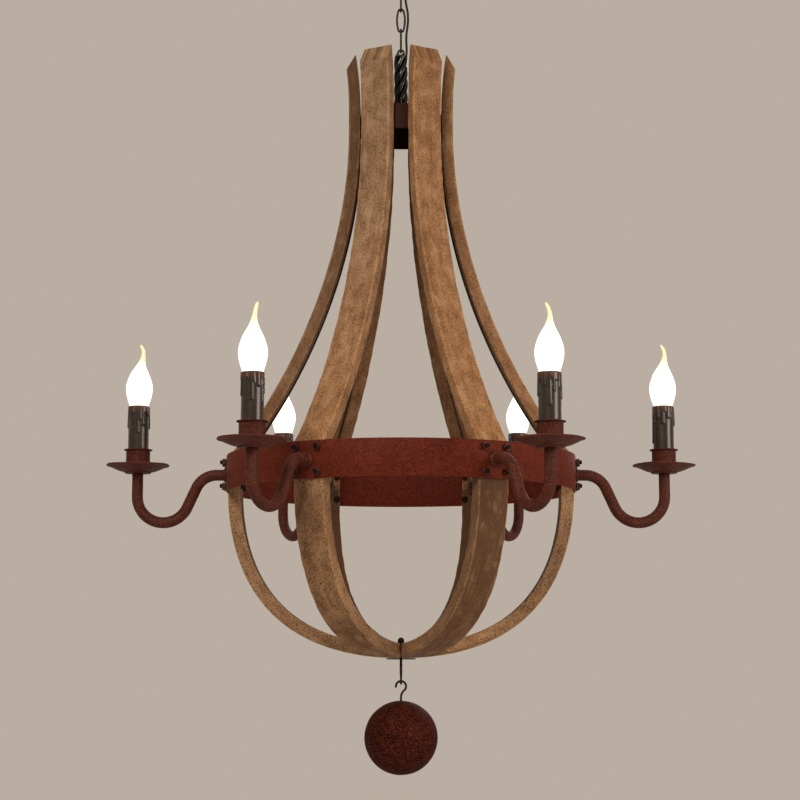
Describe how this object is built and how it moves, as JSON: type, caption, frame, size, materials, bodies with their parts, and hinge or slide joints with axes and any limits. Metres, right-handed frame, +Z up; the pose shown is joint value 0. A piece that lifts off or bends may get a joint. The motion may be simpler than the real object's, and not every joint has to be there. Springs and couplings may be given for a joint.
{
  "type": "barrel-stave chandelier",
  "caption": "Chandelier of bent oak staves bolted to an iron hoop, with scrolled candle arms, a chain from a ceiling canopy and an iron ball hanging below.",
  "frame": {"origin": "centre of the ceiling face, on top of the mounting bar", "axes": "+Z up, out of the ceiling face; -Y is the front, where the picture was taken from; +X to the right"},
  "size_m": [0.799, 0.7032, 1.1701],
  "materials": {
    "canopy": "rust-brown painted steel, satin",
    "zinc_steel": "zinc plated steel",
    "terminal_plastic": "moulded cream plastic",
    "chain_iron": "dark brown painted wire, satin",
    "cable_pvc": "black PVC",
    "fastener_iron": "dark rust-brown painted steel",
    "lead_pvc": "glossy black PVC",
    "arm_iron": "red-brown rust-effect paint on steel",
    "hoop_iron": "mottled rust-red paint on steel strip",
    "holder_plastic": "black moulded phenolic",
    "sleeve_wax": "dark brown wax-effect sleeve",
    "ball_iron": "speckled rust-brown paint on a hollow steel ball",
    "upper_oak": "weathered oak, oiled",
    "lower_oak": "weathered oak, oiled",
    "frosted_glass": "frosted, lit",
    "base_metal": "nickel plated brass"
  },
  "bodies": {
    "ceiling_mount": {"canopy": "canopy", "mounting_bar": "zinc_steel", "terminal_block": "terminal_plastic", "canopy_ring_nut": "canopy", "canopy_loop": "chain_iron", "cable_bush": "cable_pvc", "supply_cable": "cable_pvc"},
    "link_1": {"chain_link_1": "chain_iron"},
    "link_2": {"chain_link_2": "chain_iron"},
    "link_3": {"chain_link_3": "chain_iron"},
    "link_4": {"chain_link_4": "chain_iron"},
    "frame": {"stem_eye": "chain_iron", "stem_nut": "fastener_iron", "wire_bundle": "lead_pvc", "hub_drum": "arm_iron", "hub_screws": "zinc_steel", "upper_stave_1": "upper_oak", "upper_stave_2": "upper_oak", "upper_stave_3": "upper_oak", "upper_stave_4": "upper_oak", "upper_stave_5": "upper_oak", "upper_stave_6": "upper_oak", "lower_stave_1": "lower_oak", "lower_stave_2": "lower_oak", "lower_stave_3": "lower_oak", "lower_stave_4": "lower_oak", "lower_stave_5": "lower_oak", "lower_stave_6": "lower_oak", "hoop": "hoop_iron", "hoop_bolts": "fastener_iron", "hoop_nuts": "fastener_iron", "arm_nuts": "fastener_iron", "stave_flex": "cable_pvc", "arm_1": "arm_iron", "arm_2": "arm_iron", "arm_3": "arm_iron", "arm_4": "arm_iron", "arm_5": "arm_iron", "arm_6": "arm_iron", "drip_pans": "arm_iron", "candle_cups": "arm_iron", "lamp_holders": "holder_plastic", "candle_sleeves": "sleeve_wax", "bottom_plate": "arm_iron", "eye_bolt": "chain_iron", "eye_bolt_nut": "fastener_iron"},
    "pendant_ball": {"ball_hook": "chain_iron", "ball": "ball_iron"},
    "bulb_1": {"bulb_glass_1": "frosted_glass", "bulb_base_1": "base_metal"},
    "bulb_2": {"bulb_glass_2": "frosted_glass", "bulb_base_2": "base_metal"},
    "bulb_3": {"bulb_glass_3": "frosted_glass", "bulb_base_3": "base_metal"},
    "bulb_4": {"bulb_glass_4": "frosted_glass", "bulb_base_4": "base_metal"},
    "bulb_5": {"bulb_glass_5": "frosted_glass", "bulb_base_5": "base_metal"},
    "bulb_6": {"bulb_glass_6": "frosted_glass", "bulb_base_6": "base_metal"}
  },
  "joints": [
    {"name": "link_1_swing", "type": "hinge", "parent": "ceiling_mount", "child": "link_1", "pos_m": [0, 0, -0.0544], "axis": [1, 0, 0], "range_deg": [-15, 15], "deforming": ["supply_cable"]},
    {"name": "link_2_swing", "type": "hinge", "parent": "link_1", "child": "link_2", "pos_m": [0, 0, -0.0841], "axis": [0, 1, 0], "range_deg": [-15, 15]},
    {"name": "link_3_turn", "type": "hinge", "parent": "link_2", "child": "link_3", "pos_m": [0, 0, -0.1138], "axis": [0, 0, 1], "range_deg": [-15, 15]},
    {"name": "link_4_swing", "type": "hinge", "parent": "link_3", "child": "link_4", "pos_m": [0, 0, -0.1435], "axis": [0, 1, 0], "range_deg": [-15, 15]},
    {"name": "frame_swing", "type": "hinge", "parent": "link_4", "child": "frame", "pos_m": [0, 0, -0.1732], "axis": [1, 0, 0], "range_deg": [-15, 15]},
    {"name": "ball_swing", "type": "hinge", "parent": "frame", "child": "pendant_ball", "pos_m": [0, 0, -1.0465], "axis": [1, 0, 0], "range_deg": [-45, 45]},
    {"name": "bulb_1_out", "type": "slide", "parent": "frame", "child": "bulb_1", "axis": [0, 0, 1], "range_m": [0, 0.04]},
    {"name": "bulb_2_out", "type": "slide", "parent": "frame", "child": "bulb_2", "axis": [0, 0, 1], "range_m": [0, 0.04]},
    {"name": "bulb_3_out", "type": "slide", "parent": "frame", "child": "bulb_3", "axis": [0, 0, 1], "range_m": [0, 0.04]},
    {"name": "bulb_4_out", "type": "slide", "parent": "frame", "child": "bulb_4", "axis": [0, 0, 1], "range_m": [0, 0.04]},
    {"name": "bulb_5_out", "type": "slide", "parent": "frame", "child": "bulb_5", "axis": [0, 0, 1], "range_m": [0, 0.04]},
    {"name": "bulb_6_out", "type": "slide", "parent": "frame", "child": "bulb_6", "axis": [0, 0, 1], "range_m": [0, 0.04]}
  ]
}
